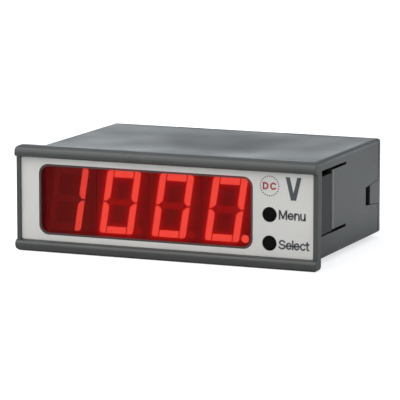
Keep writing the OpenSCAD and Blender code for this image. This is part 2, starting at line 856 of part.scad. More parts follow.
housing();
front_foil();
display_filter();
button(0);  // button_menu
button(1);  // button_select
plunger(0);  // plunger_menu
plunger(1);  // plunger_select
switch(0);  // switch_menu
switch(1);  // switch_select
digit_block(1);  // digit_block_1
digit_block(2);  // digit_block_2
digit_block(3);  // digit_block_3
digit_block(4);  // digit_block_4
lit_segments(1);  // lit_segments_1
lit_segments(2);  // lit_segments_2
lit_segments(3);  // lit_segments_3
lit_segments(4);  // lit_segments_4
dark_segments(1);  // dark_segments_1
dark_segments(2);  // dark_segments_2
dark_segments(3);  // dark_segments_3
dark_segments(4);  // dark_segments_4
digit_pins();
display_board();
link_header();
link_pins();
main_board();
controller_chip();
controller_leads();
amplifier_chip();
amplifier_leads();
crystal();
supply_module();
supply_module_pins();
capacitor(1);  // capacitor_1
capacitor(2);  // capacitor_2
capacitor_leads();
divider_resistor(1);  // divider_resistor_1
divider_resistor(2);  // divider_resistor_2
divider_resistor(3);  // divider_resistor_3
divider_leads();
terminal_block(1);  // supply_terminals
terminal_block(3);  // input_terminals
contact_bar(1);  // contact_bar_1
contact_bar(2);  // contact_bar_2
contact_bar(3);  // contact_bar_3
contact_bar(4);  // contact_bar_4
clamp_cage(1);  // clamp_cage_1
clamp_cage(2);  // clamp_cage_2
clamp_cage(3);  // clamp_cage_3
clamp_cage(4);  // clamp_cage_4
terminal_screw(1);  // terminal_screw_1
terminal_screw(2);  // terminal_screw_2
terminal_screw(3);  // terminal_screw_3
terminal_screw(4);  // terminal_screw_4
rear_cover();
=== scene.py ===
import json
import math

import bmesh
import bpy
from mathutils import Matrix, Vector


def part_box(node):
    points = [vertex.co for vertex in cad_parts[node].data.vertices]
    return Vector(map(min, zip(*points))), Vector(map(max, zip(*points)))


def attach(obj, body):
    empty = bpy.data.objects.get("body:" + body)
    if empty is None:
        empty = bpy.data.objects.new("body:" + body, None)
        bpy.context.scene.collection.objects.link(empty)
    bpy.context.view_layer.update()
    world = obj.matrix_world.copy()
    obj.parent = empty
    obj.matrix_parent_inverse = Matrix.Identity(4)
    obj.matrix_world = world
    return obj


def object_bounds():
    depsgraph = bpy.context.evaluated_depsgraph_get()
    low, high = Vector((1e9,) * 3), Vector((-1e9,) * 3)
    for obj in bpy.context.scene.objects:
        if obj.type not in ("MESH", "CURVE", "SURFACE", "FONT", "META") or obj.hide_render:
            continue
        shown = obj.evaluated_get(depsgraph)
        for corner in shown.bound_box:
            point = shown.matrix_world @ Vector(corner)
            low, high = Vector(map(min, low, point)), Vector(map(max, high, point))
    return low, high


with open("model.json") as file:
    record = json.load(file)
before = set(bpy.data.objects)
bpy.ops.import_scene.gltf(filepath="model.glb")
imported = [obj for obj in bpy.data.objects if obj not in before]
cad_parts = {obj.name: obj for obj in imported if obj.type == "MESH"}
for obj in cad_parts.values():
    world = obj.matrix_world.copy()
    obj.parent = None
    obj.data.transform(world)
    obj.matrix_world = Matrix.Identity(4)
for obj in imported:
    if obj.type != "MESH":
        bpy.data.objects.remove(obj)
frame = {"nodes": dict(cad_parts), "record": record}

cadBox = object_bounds()
nodes = frame["nodes"]
mounts = {mount["name"]: mount for mount in frame["record"]["mounts"]}
mm = 0.001
print("frame loaded:", len(nodes), "nodes")


def shade(color, factor):     # a darker or lighter tone of a colour
    return tuple(min(1.0, c * factor) for c in color)


# A node socket that turns Python arithmetic into Math nodes
class Wire:
    def __init__(self, tree, socket=None):
        self.tree = tree
        self.socket = socket

    # Any node: its type, its settings, then the values or wires of its sockets
    def node(self, kind, settings=None, inputs=None, out=0):
        made = self.tree.nodes.new("ShaderNode" + kind)
        for name, value in (settings or {}).items():
            setattr(made, name, value)
        for name, value in (inputs or {}).items():
            if isinstance(value, Wire):
                self.tree.links.new(value.socket, made.inputs[name])
            elif isinstance(value, tuple) and made.inputs[name].type == "RGBA":
                made.inputs[name].default_value = (*value, 1)
            else:
                made.inputs[name].default_value = value
        return Wire(self.tree, made.outputs[out]) if made.outputs else None

    def output(self, name):     # another output of the same node
        return Wire(self.tree, self.socket.node.outputs[name])

    def math(self, operation, *values):
        return self.node("Math", {"operation": operation}, dict(enumerate(values)))

    def __add__(self, other):
        return self.math("ADD", self, other)

    def __sub__(self, other):
        return self.math("SUBTRACT", self, other)

    def __rsub__(self, other):
        return self.math("SUBTRACT", other, self)

    def __mul__(self, other):
        return self.math("MULTIPLY", self, other)

    def __truediv__(self, other):
        return self.math("DIVIDE", self, other)

    def __pow__(self, other):
        return self.math("POWER", self, other)

    __radd__ = __add__
    __rmul__ = __mul__

    def __abs__(self):
        return self.math("ABSOLUTE", self)

    def atLeast(self, other):
        return self.math("MAXIMUM", self, other)

    def atMost(self, other):
        return self.math("MINIMUM", self, other)

    def fract(self):
        return self.math("FRACT", self)

    def step(self, low, high):     # 0 below low, 1 above high, smooth between
        return self.node("MapRange", {"interpolation_type": "SMOOTHSTEP"},
                         {"Value": self, "From Min": low, "From Max": high})

    def swing(self, amount):     # from a noise: half the amount down to half the amount up
        return (self - 0.5) * amount

    # A colour that goes from first to second with this factor; 6, 7 and 2 are a Mix node's colour sockets
    def blend(self, first, second):
        return self.node("Mix", {"data_type": "RGBA"}, {"Factor": self, 6: first, 7: second}, out=2)

    # From a noise: a colour between two tones of itself
    def mottle(self, color, atLow, atHigh, low=0.3, high=0.7):
        return self.step(low, high).blend(shade(color, atLow), shade(color, atHigh))


bevelSamples = 6     # rays for a soft edge
creviceSamples = 8     # rays for a gap


# What every material starts with
class Finish:
    def __init__(self, name):
        self.material = bpy.data.materials.new(name)
        self.material.use_nodes = True
        tree = self.material.node_tree
        tree.nodes.clear()
        self.at = Wire(tree)
        self.place = self.at.node("TexCoord", out="Object")

    def xyz(self):     # metres in the part's own frame
        parts = self.at.node("SeparateXYZ", None, {0: self.place})
        return [parts.output(axis) for axis in "XYZ"]

    def noise(self, size, detail=2, stretch=None):     # size of the spots in millimetres
        spot = self.place
        if stretch:
            spot = self.at.node("Mapping", None, {"Vector": spot, "Scale": stretch})
        return self.at.node("TexNoise", None, {"Vector": spot, "Scale": 1 / (size * mm), "Detail": detail})

    def rounded(self, radius):     # a normal that softens edges, radius in millimetres
        return self.at.node("Bevel", {"samples": bevelSamples}, {"Radius": radius * mm})

    def edges(self, radius):     # 0 on flats, towards 1 along edges
        soft = self.rounded(radius)
        hard = self.at.node("NewGeometry", out="Normal")
        return 1 - self.at.node("VectorMath", {"operation": "DOT_PRODUCT"}, {0: soft, 1: hard}, out="Value")

    # the mask for painted shade in gaps
    def crevice(self, reach):     # 1 in the open, towards 0 deep in a gap of about this many millimetres
        settings = {"samples": creviceSamples}
        return self.at.node("AmbientOcclusion", settings, {"Distance": reach * mm}, out="AO")

    def bump(self, height, depth, normal=None):     # depth in millimetres
        inputs = {"Height": height, "Distance": depth * mm}
        if normal:
            inputs["Normal"] = normal
        return self.at.node("Bump", None, inputs)

    def show(self, shader):
        self.at.node("OutputMaterial", None, {"Surface": shader})
        return self.material

    def done(self, **sockets):
        names = {key.replace("_", " "): value for key, value in sockets.items()}
        return self.show(self.at.node("BsdfPrincipled", None, names))


# Moulded housing plastic: fine spark-eroded grain, with a painted highlight and a little more gloss along
# its edges, and painted shade in its gaps
casePlastic = {
    "color": (0.0335, 0.0338, 0.0305), "gloss": 0.70, "roughness": 0.30,
    "grain": 0.16, "grainDepth": 0.006, "grainRough": 0.12,     # sizes and depths in millimetres
    "cloud": 6, "mottle": (0.93, 1.07), "cloudRough": 0.08,
    "flow": 24, "flowRough": 0.5,     # broad flow marks, seen in the gloss alone
    "edgeRadius": 0.22, "edgeGain": 4, "edgeTone": 1.9, "edgeLift": 0.35, "edgeRough": 0.08,
    "gap": 0.7, "gapFrom": 0.25, "gapTo": 0.85, "gapTone": 0.12, "gapRough": 0.3}
coverPlastic = {**casePlastic, "color": shade(casePlastic["color"], 0.94), "grain": 0.2}


# Clip grips of both side walls: painted shade in the roots between the teeth, and a painted highlight, a
# light line, on the tongue's free end
gripLook = {
    "padL": 7.2, "padH": 13.5, "tooth": 0.3, "rootTone": 0.1,
    "edge": 0.2, "edgeFrom": 0.25, "edgeTo": 0.35, "edgeTone": 11,     # from and to: outward from the roots
    "soft": 0.1}     # the width over which each of them fades


def gripShadeAndHighlight(f, look, color, tone):
    x, y, z = f.xyz()
    rootX, middleY, middleZ = mounts["right_grip"]["pos_m"]     # the pad's middle, at the roots of its teeth
    outward = abs(x) - rootX
    halfL, halfH, soft = look["padL"] / 2 * mm, look["padH"] / 2 * mm, look["soft"] * mm
    start, end = middleY - halfL, middleY + halfL
    tall = 1 - abs(z - middleZ).step(halfH, halfH + soft)
    pad = y.step(start - soft, start) * (1 - y.step(end - soft, end)) * outward.step(-2 * soft, 0)
    root = 1 - outward.step(0, look["tooth"] * mm)
    # painted shade in the roots between the teeth
    color = (pad * tall * root).blend(color, shade(tone, look["rootTone"]))
    # painted highlight: a light line along the tongue's free end
    freeEnd = end + look["edge"] * mm
    edge = y.step(end - soft / 2, end) * (1 - y.step(freeEnd, freeEnd + soft))
    edge = edge * outward.step(look["edgeFrom"] * mm, look["edgeTo"] * mm)
    return (edge * tall).blend(color, shade(tone, look["edgeTone"]))


def mouldedPlastic(name, look, grip=None):
    f = Finish(name)
    tone = look["color"]
    grain = f.noise(look["grain"], detail=3)
    cloud = f.noise(look["cloud"])
    flow = f.noise(look["flow"], detail=1)
    edge = (f.edges(look["edgeRadius"]) * look["edgeGain"]).atMost(1)
    clear = f.crevice(look["gap"]).step(look["gapFrom"], look["gapTo"])
    color = cloud.mottle(tone, *look["mottle"])
    # painted highlight: a lighter tone along the edges
    color = (edge * look["edgeLift"]).blend(color, shade(tone, look["edgeTone"]))
    # painted shade: darker colour deep in gaps and slots
    color = clear.blend(shade(tone, look["gapTone"]), color)
    if grip:
        color = gripShadeAndHighlight(f, grip, color, tone)
    rough = (look["roughness"] + grain.swing(look["grainRough"]) + cloud.swing(look["cloudRough"])
             + flow.swing(look["flowRough"]) - edge * look["edgeRough"] + (1 - clear) * look["gapRough"])
    normal = f.bump(grain, look["grainDepth"], f.rounded(look["edgeRadius"]))
    return f.done(Base_Color=color, Roughness=rough, Specular_IOR_Level=look["gloss"], Normal=normal)


# Printed foil: satin polycarbonate with a very fine texture on its face, and painted shade in the gaps at
# its edges
foilLook = {
    "color": (0.60, 0.575, 0.54), "roughness": 0.46,
    "velvet": 0.09, "velvetDepth": 0.002, "velvetRough": 0.15,
    "cloud": 9, "mottle": (0.975, 1.02),
    "gap": 0.5, "gapFrom": 0.3, "gapTo": 0.8, "gapTone": 0.45}


def satinFoil(name, look):
    f = Finish(name)
    velvet = f.noise(look["velvet"])
    clear = f.crevice(look["gap"]).step(look["gapFrom"], look["gapTo"])
    color = f.noise(look["cloud"]).mottle(look["color"], *look["mottle"])
    # painted shade: darker colour in the gaps at the foil's edges
    color = clear.blend(shade(look["color"], look["gapTone"]), color)
    rough = look["roughness"] + velvet.swing(look["velvetRough"])
    return f.done(Base_Color=color, Roughness=rough, Normal=f.bump(velvet, look["velvetDepth"]))


# Ink: a thin, slightly uneven layer
inkLook = {"roughness": 0.42, "speck": 0.12, "speckDepth": 0.002, "speckRough": 0.2,
           "mottle": (0.88, 1.12, 0.35, 0.65)}


def printedInk(name, color, look=inkLook):
    f = Finish(name)
    speck = f.noise(look["speck"])
    return f.done(Base_Color=speck.mottle(color, *look["mottle"]),
                  Roughness=look["roughness"] + speck.swing(look["speckRough"]),
                  Normal=f.bump(speck, look["speckDepth"]))


# Red display filter: smoked acrylic that lets the figures through
filterLook = {
    "color": (0.12, 0.003, 0.003), "alpha": 0.36, "roughness": 0.12, "gloss": 0.12, "ior": 1.49,
    "haze": 1.6, "mottle": (0.9, 1.1), "hazeRough": 0.05, "hazeAlpha": 0.02, "hazeDepth": 0.001}


def redFilter(name, look):
    f = Finish(name)
    haze = f.noise(look["haze"])
    return f.done(Base_Color=haze.mottle(look["color"], *look["mottle"]),
                  Roughness=look["roughness"] + haze.swing(look["hazeRough"]),
                  Alpha=look["alpha"] + haze.swing(look["hazeAlpha"]), IOR=look["ior"],
                  Specular_IOR_Level=look["gloss"], Normal=f.bump(haze, look["hazeDepth"]))


# Light of the figures, spread in the face of each digit block round its lit segments
glowLook = {
    "face": (0.030, 0.001, 0.001), "mottle": (1, 1.4), "gloss": 0.1, "roughness": 0.55,
    "grain": 0.25, "grainRough": 0.2, "grainDepth": 0.004,
    "glow": (1.0, 0.002, 0.001), "reach": 0.65, "strength": 0.85, "aloneShare": 0.3,
    "dim": (0.095, 0.002, 0.001), "warm": (0.18, 0.002, 0.001), "warmFrom": -0.6, "warmTo": 1.4,
    "lean": 8.7, "middle": -0.6, "halfW": 3.3, "halfH": 6.35, "halfStroke": 0.75,     # of a figure
    "faceFrom": 0.6, "faceTo": 0.9}     # how deep behind its face a block stops glowing


def figureGlow(f, look):     # how near a point is to a lit segment, from 0 to 1
    x, _, z = f.xyz()
    slant = x - z * math.tan(math.radians(look["lean"]))
    for number in (1, 2, 3, 4):
        low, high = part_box(f"digit_block_{number}")
        across = slant - ((low.x + high.x) / 2 + look["middle"] * mm)
        tall = abs(z) - look["halfH"] * mm
        if number == 1:     # a figure 1: its right side alone
            aside = abs(across - look["halfW"] * mm)
            above = tall.atLeast(0)
            far = (aside * aside + above * above) ** 0.5
        else:     # a figure 0: its whole outline
            wide = abs(across) - look["halfW"] * mm
            inside = wide.atLeast(tall).atMost(0)
            outX, outZ = wide.atLeast(0), tall.atLeast(0)
            far = abs((outX * outX + outZ * outZ) ** 0.5 + inside)
        away = (far - look["halfStroke"] * mm).atLeast(0)
        near = f.at.math("EXPONENT", away / (-look["reach"] * mm))
        total = near * look["aloneShare"] if number == 1 else total + near
    return (total * look["strength"]).atMost(1)


def digitFace(name, look):
    f = Finish(name)
    x, y, _ = f.xyz()
    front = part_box("digit_block_1")[0].y
    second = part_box("digit_block_2")[0].x     # figure 1, left of this, has less red round it
    face = 1 - y.step(front + look["faceFrom"] * mm, front + look["faceTo"] * mm)
    lit = x.step(second + look["warmFrom"] * mm, second + look["warmTo"] * mm)
    light = figureGlow(f, look).blend(lit.blend(look["dim"], look["warm"]), look["glow"])
    grain = f.noise(look["grain"])
    return f.done(Base_Color=grain.mottle(look["face"], *look["mottle"]),
                  Roughness=look["roughness"] + grain.swing(look["grainRough"]),
                  Specular_IOR_Level=look["gloss"], Emission_Color=face.blend((0, 0, 0), light),
                  Emission_Strength=1.0, Normal=f.bump(grain, look["grainDepth"]))


# Segments: resin light pipes. Those of figure 1 are lit a little less, and more light strays into the unlit
# ones of the other figures.
litLook = {
    "color": (1.0, 0.074, 0.050), "strength": 1.85, "strengthIn1": 1.52, "mottle": (0.94, 1, 0.25, 0.75),
    "body": (0.4, 0.03, 0.024), "gloss": 0.1, "roughness": 0.4, "cloud": 1.3, "cloudRough": 0.1}
darkLook = {
    "stray": (0.48, 0.004, 0.003), "strayIn1": (0.14, 0.006, 0.005), "mottle": (0.94, 1),
    "body": (0.10, 0.002, 0.002), "bodyMottle": (1, 1.3), "gloss": 0.1, "roughness": 0.4,
    "cloud": 1.3, "cloudRough": 0.1}


def litResin(name, look, strength):
    f = Finish(name)
    cloud = f.noise(look["cloud"])
    return f.done(Base_Color=look["body"], Roughness=look["roughness"] + cloud.swing(look["cloudRough"]),
                  Specular_IOR_Level=look["gloss"], Emission_Strength=strength,
                  Emission_Color=cloud.mottle(look["color"], *look["mottle"]))


def darkResin(name, look, stray):
    f = Finish(name)
    cloud = f.noise(look["cloud"])
    return f.done(Base_Color=cloud.mottle(look["body"], *look["bodyMottle"]),
                  Roughness=look["roughness"] + cloud.swing(look["cloudRough"]),
                  Specular_IOR_Level=look["gloss"], Emission_Strength=1.0,
                  Emission_Color=cloud.mottle(stray, *look["mottle"]))


# Plain moulded inner parts
innerLook = {"cloud": 3, "mottle": (0.85, 1.15), "grainRough": 0.16, "grainDepth": 0.005, "edgeRadius": 0.08}


def innerPlastic(name, color, roughness=0.5, grain=0.2, gloss=0.5, look=innerLook):
    f = Finish(name)
    fine = f.noise(grain, detail=3)
    return f.done(Base_Color=f.noise(look["cloud"]).mottle(color, *look["mottle"]),
                  Roughness=roughness + fine.swing(look["grainRough"]), Specular_IOR_Level=gloss,
                  Normal=f.bump(fine, look["grainDepth"], f.rounded(look["edgeRadius"])))


# Plated and bare metals, drawn or brushed along one direction
metalLook = {"line": 0.5, "lineRough": 0.22, "lineDepth": 0.004,
             "stain": 1.4, "stainRough": 0.12, "mottle": (1, 0.78, 0.35, 0.75), "edgeRadius": 0.06}


def brushedMetal(name, color, roughness=0.3, stretch=(1, 12, 1), look=metalLook):
    f = Finish(name)
    line = f.noise(look["line"], detail=3, stretch=stretch)
    stain = f.noise(look["stain"], detail=3)
    rough = roughness + line.swing(look["lineRough"]) + stain.swing(look["stainRough"])
    return f.done(Base_Color=stain.mottle(color, *look["mottle"]), Metallic=1.0, Roughness=rough,
                  Normal=f.bump(line, look["lineDepth"], f.rounded(look["edgeRadius"])))


# Circuit board: green resist over copper tracks, with bare glass at the sawn edges
boardLook = {
    "mask": (0.012, 0.10, 0.045), "track": (0.03, 0.19, 0.075), "edge": (0.28, 0.27, 0.14),
    "lines": 620, "cells": 330.0,     # tracks and the cells they wander with, for each metre
    "wander": 1.5, "trackFrom": 0.16, "trackTo": 0.2, "endFrom": 0.42, "endTo": 0.44,
    "flatFrom": 0.4, "flatTo": 0.6,     # from a sawn edge to a face, by the normal
    "roughness": 0.3, "weave": 0.3, "weaveRough": 0.16, "weaveHeight": 0.3, "depth": 0.02}


def circuitBoard(name, look, across):
    f = Finish(name)
    x, y, z = f.xyz()
    side, out = {"y": (y, "Z"), "z": (z, "Y")}[across]     # the board's second direction and its normal's
    spot = f.at.node("CombineXYZ", None, {0: x, 1: side, 2: 0.0})
    cell = f.at.node("TexVoronoi", {"distance": "CHEBYCHEV", "feature": "F1"},
                     {"Vector": spot, "Scale": look["cells"]})
    lines = abs((x * look["lines"] + cell * look["wander"]).fract() - 0.5)
    track = lines.step(look["trackFrom"], look["trackTo"]) * (1 - cell.step(look["endFrom"], look["endTo"]))
    facing = f.at.node("SeparateXYZ", None, {0: f.at.node("NewGeometry", out="Normal")}, out=out)
    flat = abs(facing).step(look["flatFrom"], look["flatTo"])     # 1 on the two faces, 0 on the sawn edges
    weave = f.noise(look["weave"])
    return f.done(Base_Color=flat.blend(look["edge"], track.blend(look["mask"], look["track"])),
                  Roughness=look["roughness"] + weave.swing(look["weaveRough"]),
                  Normal=f.bump(track + weave * look["weaveHeight"], look["depth"]))


print("building the finishes")
case = mouldedPlastic("case", casePlastic, gripLook)
cover = mouldedPlastic("cover", coverPlastic)
tin = brushedMetal("tinned", (0.62, 0.62, 0.60), 0.34)
finishes = {     # with name, colour and roughness; a key that ends in _ is the start of several nodes' names
    "housing": case,
    "rear_cover": cover,
    "front_foil": satinFoil("foil", foilLook),
    "display_filter": redFilter("filter", filterLook),
    "button_": innerPlastic("button", (0.0036, 0.0033, 0.0031), 0.4, grain=0.12, gloss=0.05),
    "plunger_": innerPlastic("switch_stem", (0.02, 0.02, 0.02), 0.45),
    "switch_": innerPlastic("switch_body", (0.06, 0.06, 0.065), 0.4),
    "digit_block_": digitFace("digit_face", glowLook),
    "lit_segments_": litResin("lit", litLook, litLook["strength"]),
    "lit_segments_1": litResin("lit_alone", litLook, litLook["strengthIn1"]),
    "dark_segments_": darkResin("unlit", darkLook, darkLook["stray"]),
    "dark_segments_1": darkResin("unlit_alone", darkLook, darkLook["strayIn1"]),
    "digit_pins": tin,
    "display_board": circuitBoard("board_front", boardLook, "z"),
    "main_board": circuitBoard("board", boardLook, "y"),
    "link_header": innerPlastic("header", (0.02, 0.02, 0.02), 0.5),
    "link_pins": brushedMetal("gold_plate", (0.83, 0.60, 0.26), 0.28),
    "controller_chip": innerPlastic("chip", (0.022, 0.022, 0.023), 0.55, grain=0.1),
    "amplifier_chip": innerPlastic("chip_small", (0.024, 0.024, 0.025), 0.55, grain=0.1),
    "controller_leads": tin,
    "amplifier_leads": tin,
    "crystal": brushedMetal("can", (0.66, 0.66, 0.67), 0.25, stretch=(12, 1, 1)),
    "supply_module_pins": tin,
    "supply_module": innerPlastic("potting", (0.028, 0.028, 0.031), 0.5, grain=0.3),
    "capacitor_leads": tin,
    "capacitor_": innerPlastic("sleeve", (0.018, 0.024, 0.085), 0.28, grain=0.5),
    "divider_leads": tin,
    "divider_resistor_": innerPlastic("resistor", (0.13, 0.26, 0.42), 0.36, grain=0.3),
    "supply_terminals": innerPlastic("terminal", (0.030, 0.031, 0.033), 0.48, grain=0.25),
    "input_terminals": innerPlastic("terminal_input", (0.030, 0.031, 0.033), 0.48, grain=0.25),
    "contact_bar_": tin,
    "clamp_cage_": brushedMetal("cage", (0.75, 0.58, 0.33), 0.36, stretch=(1, 1, 8)),
    "terminal_screw_": brushedMetal("screw", (0.58, 0.58, 0.57), 0.32, stretch=(6, 6, 1)),
}
for name, node in nodes.items():
    fits = [key for key in finishes if name == key or (key.endswith("_") and name.startswith(key))]
    node.data.materials.clear()
    node.data.materials.append(finishes[max(fits, key=len)])


# Makes an object of a bmesh, on a body, with a finish
def piece(name, mesh, material, body="root"):
    data = bpy.data.meshes.new(name)
    bmesh.ops.recalc_face_normals(mesh, faces=mesh.faces)
    mesh.to_mesh(data)
    mesh.free()
    data.materials.append(material)
    made = bpy.data.objects.new(name, data)
    bpy.context.scene.collection.objects.link(made)
    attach(made, body)


foilLow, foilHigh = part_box("front_foil")
filterLow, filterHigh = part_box("display_filter")
menuLow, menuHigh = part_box("button_menu")
selectLow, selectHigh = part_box("button_select")
foilFace = foilLow.y
keyX = (menuLow.x + menuHigh.x) / 2
menuZ = (menuLow.z + menuHigh.z) / 2
selectZ = (selectLow.z + selectHigh.z) / 2
inkT = 0.02 * mm
inkSunk = inkT / 4     # how far ink reaches into what it lies on


# Adds a flat shape on the foil: an outline of (x, z) points, with the ink's thickness
def addPrint(mesh, outline):
    front, back = [[mesh.verts.new((x, depth, z)) for x, z in outline]
                   for depth in (foilFace - inkT, foilFace + inkSunk)]
    mesh.faces.new(front)
    for k in range(len(outline)):
        following = (k + 1) % len(outline)
        mesh.faces.new((front[k], front[following], back[following], back[k]))


# Points of an arc of an ellipse, from one angle to another in degrees
def arc(x, z, rx, rz, start, end, steps=10):
    turns = [math.radians(start + (end - start) * k / steps) for k in range(steps + 1)]
    return [(x + rx * math.cos(turn), z + rz * math.sin(turn)) for turn in turns]


# Plain block letters as the middle lines of their strokes, on a cap height of 1, and how wide each is
letters = {
    "M": (0.76, [[(0, 0), (0, 1)], [(0.04, 1), (0.38, 0.1)],
                 [(0.38, 0.1), (0.72, 1)], [(0.76, 0), (0.76, 1)]]),
    "S": (0.60, [arc(0.30, 0.745, 0.27, 0.255, 20, 255) + arc(0.29, 0.25, 0.31, 0.25, 75, -160)]),
    "e": (0.50, [[(0.02, 0.375), (0.50, 0.375)] + arc(0.25, 0.36, 0.25, 0.36, 3, 318)]),
    "n": (0.44, [[(0, 0), (0, 0.72)], [(0, 0.40)] + arc(0.22, 0.46, 0.22, 0.26, 160, 0) + [(0.44, 0)]]),
    "u": (0.44, [[(0, 0.72)] + arc(0.22, 0.26, 0.22, 0.26, 180, 340) + [(0.44, 0.32)],
                 [(0.44, 0), (0.44, 0.72)]]),
    "l": (0.0, [[(0, 0), (0, 1)]]),
    "c": (0.44, [arc(0.25, 0.36, 0.25, 0.36, 42, 318)]),
    "t": (0.26, [[(0.10, 0.93), (0.10, 0.14)] + arc(0.23, 0.13, 0.13, 0.13, 180, 280, 5),
                 [(0, 0.70), (0.26, 0.70)]]),
    "D": (0.62, [[(0, 0), (0, 1)], [(0.1, 1)] + arc(0.2, 0.5, 0.42, 0.5, 90, -90) + [(0.1, 0)]]),
    "C": (0.68, [arc(0.36, 0.5, 0.36, 0.5, 44, 316, 14)]),
    "1": (0.30, [[(0.30, 0), (0.30, 1)], [(0.02, 0.78), (0.28, 0.98)]]),
    "2": (0.58, [arc(0.29, 0.73, 0.27, 0.27, 170, -35) + [(0.02, 0), (0.60, 0)]]),
    "3": (0.56, [arc(0.27, 0.75, 0.25, 0.25, 150, -90) + arc(0.27, 0.25, 0.29, 0.25, 90, -150)]),
    "4": (0.62, [[(0.46, 0), (0.46, 1)], [(0.44, 0.98), (0.02, 0.30)], [(0, 0.28), (0.62, 0.28)]]),
}
sharpest = 0.45     # a mitre reaches no further than a stroke's half width over this


# Edges of a stroke of one width round its middle line, with square ends and mitred corners
def strokeEdges(line, half):
    (x0, z0), (x1, z1), (x2, z2), (x3, z3) = line[0], line[1], line[-2], line[-1]
    first, last = half / math.hypot(x1 - x0, z1 - z0), half / math.hypot(x3 - x2, z3 - z2)
    line = ([(x0 - (x1 - x0) * first, z0 - (z1 - z0) * first)] + line[1:-1]
            + [(x3 + (x3 - x2) * last, z3 + (z3 - z2) * last)])
    sides = ([], [])
    for k, (x, z) in enumerate(line):
        before, after = line[max(k - 1, 0)], line[min(k + 1, len(line) - 1)]
        come = Vector((x - before[0], z - before[1])).normalized() if k else None
        go = Vector((after[0] - x, after[1] - z)).normalized() if k < len(line) - 1 else come
        come = come or go
        normal = Vector((-(come.y + go.y), come.x + go.x)).normalized()
        reach = half / max(sharpest, normal.dot(Vector((-go.y, go.x))))
        for side, sign in zip(sides, (1, -1)):
            side.append((x + sign * reach * normal.x, z + sign * reach * normal.y))
    return sides


# Adds a solid strip between two rows of points, from a back level to a front one; place sets them in space
def addStrip(mesh, sides, place, back, front):
    leftBack, leftFront, rightBack, rightFront = [
        [mesh.verts.new(place(x, z, level)) for x, z in side] for side in sides for level in (back, front)]
    around = (leftFront, rightFront, rightBack, leftBack)
    for k in range(len(leftBack) - 1):
        for a, b in zip(around, around[1:] + around[:1]):
            mesh.faces.new((a[k], a[k + 1], b[k + 1], b[k]))
    for k in (0, -1):
        mesh.faces.new((leftBack[k], leftFront[k], rightFront[k], rightBack[k]))


# Adds a word in block letters: left end, foot, cap height, whole width and stroke, all in metres
def addWord(mesh, word, left, foot, cap, width, stroke, place, back, front):
    inked = sum(letters[letter][0] for letter in word) * cap
    gap = (width - stroke - inked) / max(1, len(word) - 1)
    x = left + stroke / 2
    for letter in word:
        wide, lines = letters[letter]
        for line in lines:
            middle = [(x + a * cap, foot + stroke / 2 + b * (cap - stroke)) for a, b in line]
            addStrip(mesh, strokeEdges(middle, stroke / 2), place, back, front)
        x += wide * cap + gap


def onFoil(x, z, level):     # level counts outward from the foil's face
    return (x, foilFace - level, z)


# Legends: plain function words on the right of the keys, and the unit near the foil's right end
legends = {
    "ink": (0.052, 0.058, 0.060), "cap": 2.12, "stroke": 0.37, "gap": 2.15, "menuW": 6.25, "selectW": 7.15,
    "menuFoot": -0.98, "selectFoot": -1.2,     # from the middle of the key
    "unitIn": 4.65, "unitBelow": 0.9,     # from the foil's right edge to its middle, and from the upper edge
    "unitW": 3.66, "unitH": 5.05, "unitStroke": 0.97, "unitHalfFoot": 0.6, "unitNotch": 1.55}


def makeLegends(look):
    mesh = bmesh.new()
    left, cap, stroke = keyX + look["gap"] * mm, look["cap"] * mm, look["stroke"] * mm
    for word, middle, foot, width in (("Menu", menuZ, look["menuFoot"], look["menuW"]),
                                      ("Select", selectZ, look["selectFoot"], look["selectW"])):
        addWord(mesh, word, left, middle + foot * mm, cap, width * mm, stroke, onFoil, -inkSunk, inkT)
    half, stroke, halfFoot = look["unitW"] / 2, look["unitStroke"], look["unitHalfFoot"]
    top, notch = look["unitH"], look["unitNotch"]
    outline = [(-half, top), (stroke - half, top), (0, notch), (half - stroke, top),
               (half, top), (halfFoot, 0), (-halfFoot, 0)]
    unitX = foilHigh.x - look["unitIn"] * mm
    unitFoot = foilHigh.z - (look["unitBelow"] + top) * mm
    addPrint(mesh, [(unitX + a * mm, unitFoot + b * mm) for a, b in outline])
    piece("legends", mesh, printedInk("legend_ink", look["ink"]))


# Round mark for the kind of voltage above the keys: letters in a ring of dots, in two inks
kindMark = {
    "ink": (0.33, 0.03, 0.028), "below": 3.07, "wordW": 3.2, "cap": 1.65, "stroke": 0.37,
    "dotInk": (0.07, 0.08, 0.07), "dots": 24, "dotR": 0.16, "dotSides": 12, "ringR": 2.15}


def makeKindMark(look):
    middle = foilHigh.z - look["below"] * mm
    width, cap, stroke = look["wordW"] * mm, look["cap"] * mm, look["stroke"] * mm
    word = bmesh.new()
    addWord(word, "DC", keyX - width / 2, middle - cap / 2, cap, width, stroke, onFoil, -inkSunk, inkT)
    piece("kind_mark", word, printedInk("mark_ink", look["ink"]))
    ringR, dotR = look["ringR"] * mm, look["dotR"] * mm
    ring = bmesh.new()
    for x, z in arc(keyX, middle, ringR, ringR, 0, 360, look["dots"])[:-1]:
        addPrint(ring, arc(x, z, dotR, dotR, 0, 360, look["dotSides"])[:-1])
    piece("kind_ring", ring, printedInk("ring_ink", look["dotInk"]))


# Dark line printed round the edge of the window, on the filter's face
windowLine = {"ink": (0.045, 0.034, 0.032), "width": 0.32, "radius": 2.3, "rim": 0.75, "proud": 0.02}
weldGap = 1e-7     # points nearer than this become one where the line closes


def onFilter(x, z, level):     # level counts outward from the filter's face
    return (x, filterLow.y - level, z)


def roundedOutline(low, high, inset, radius):     # closed, inside the edges of a box by the inset
    points = []
    for x, z, start in ((high.x, high.z, 0), (low.x, high.z, 90), (low.x, low.z, 180), (high.x, low.z, 270)):
        middleX = x - (inset + radius) * (1 if x > low.x else -1)
        middleZ = z - (inset + radius) * (1 if z > low.z else -1)
        points += arc(middleX, middleZ, radius, radius, start, start + 90)
    return points + points[:1]


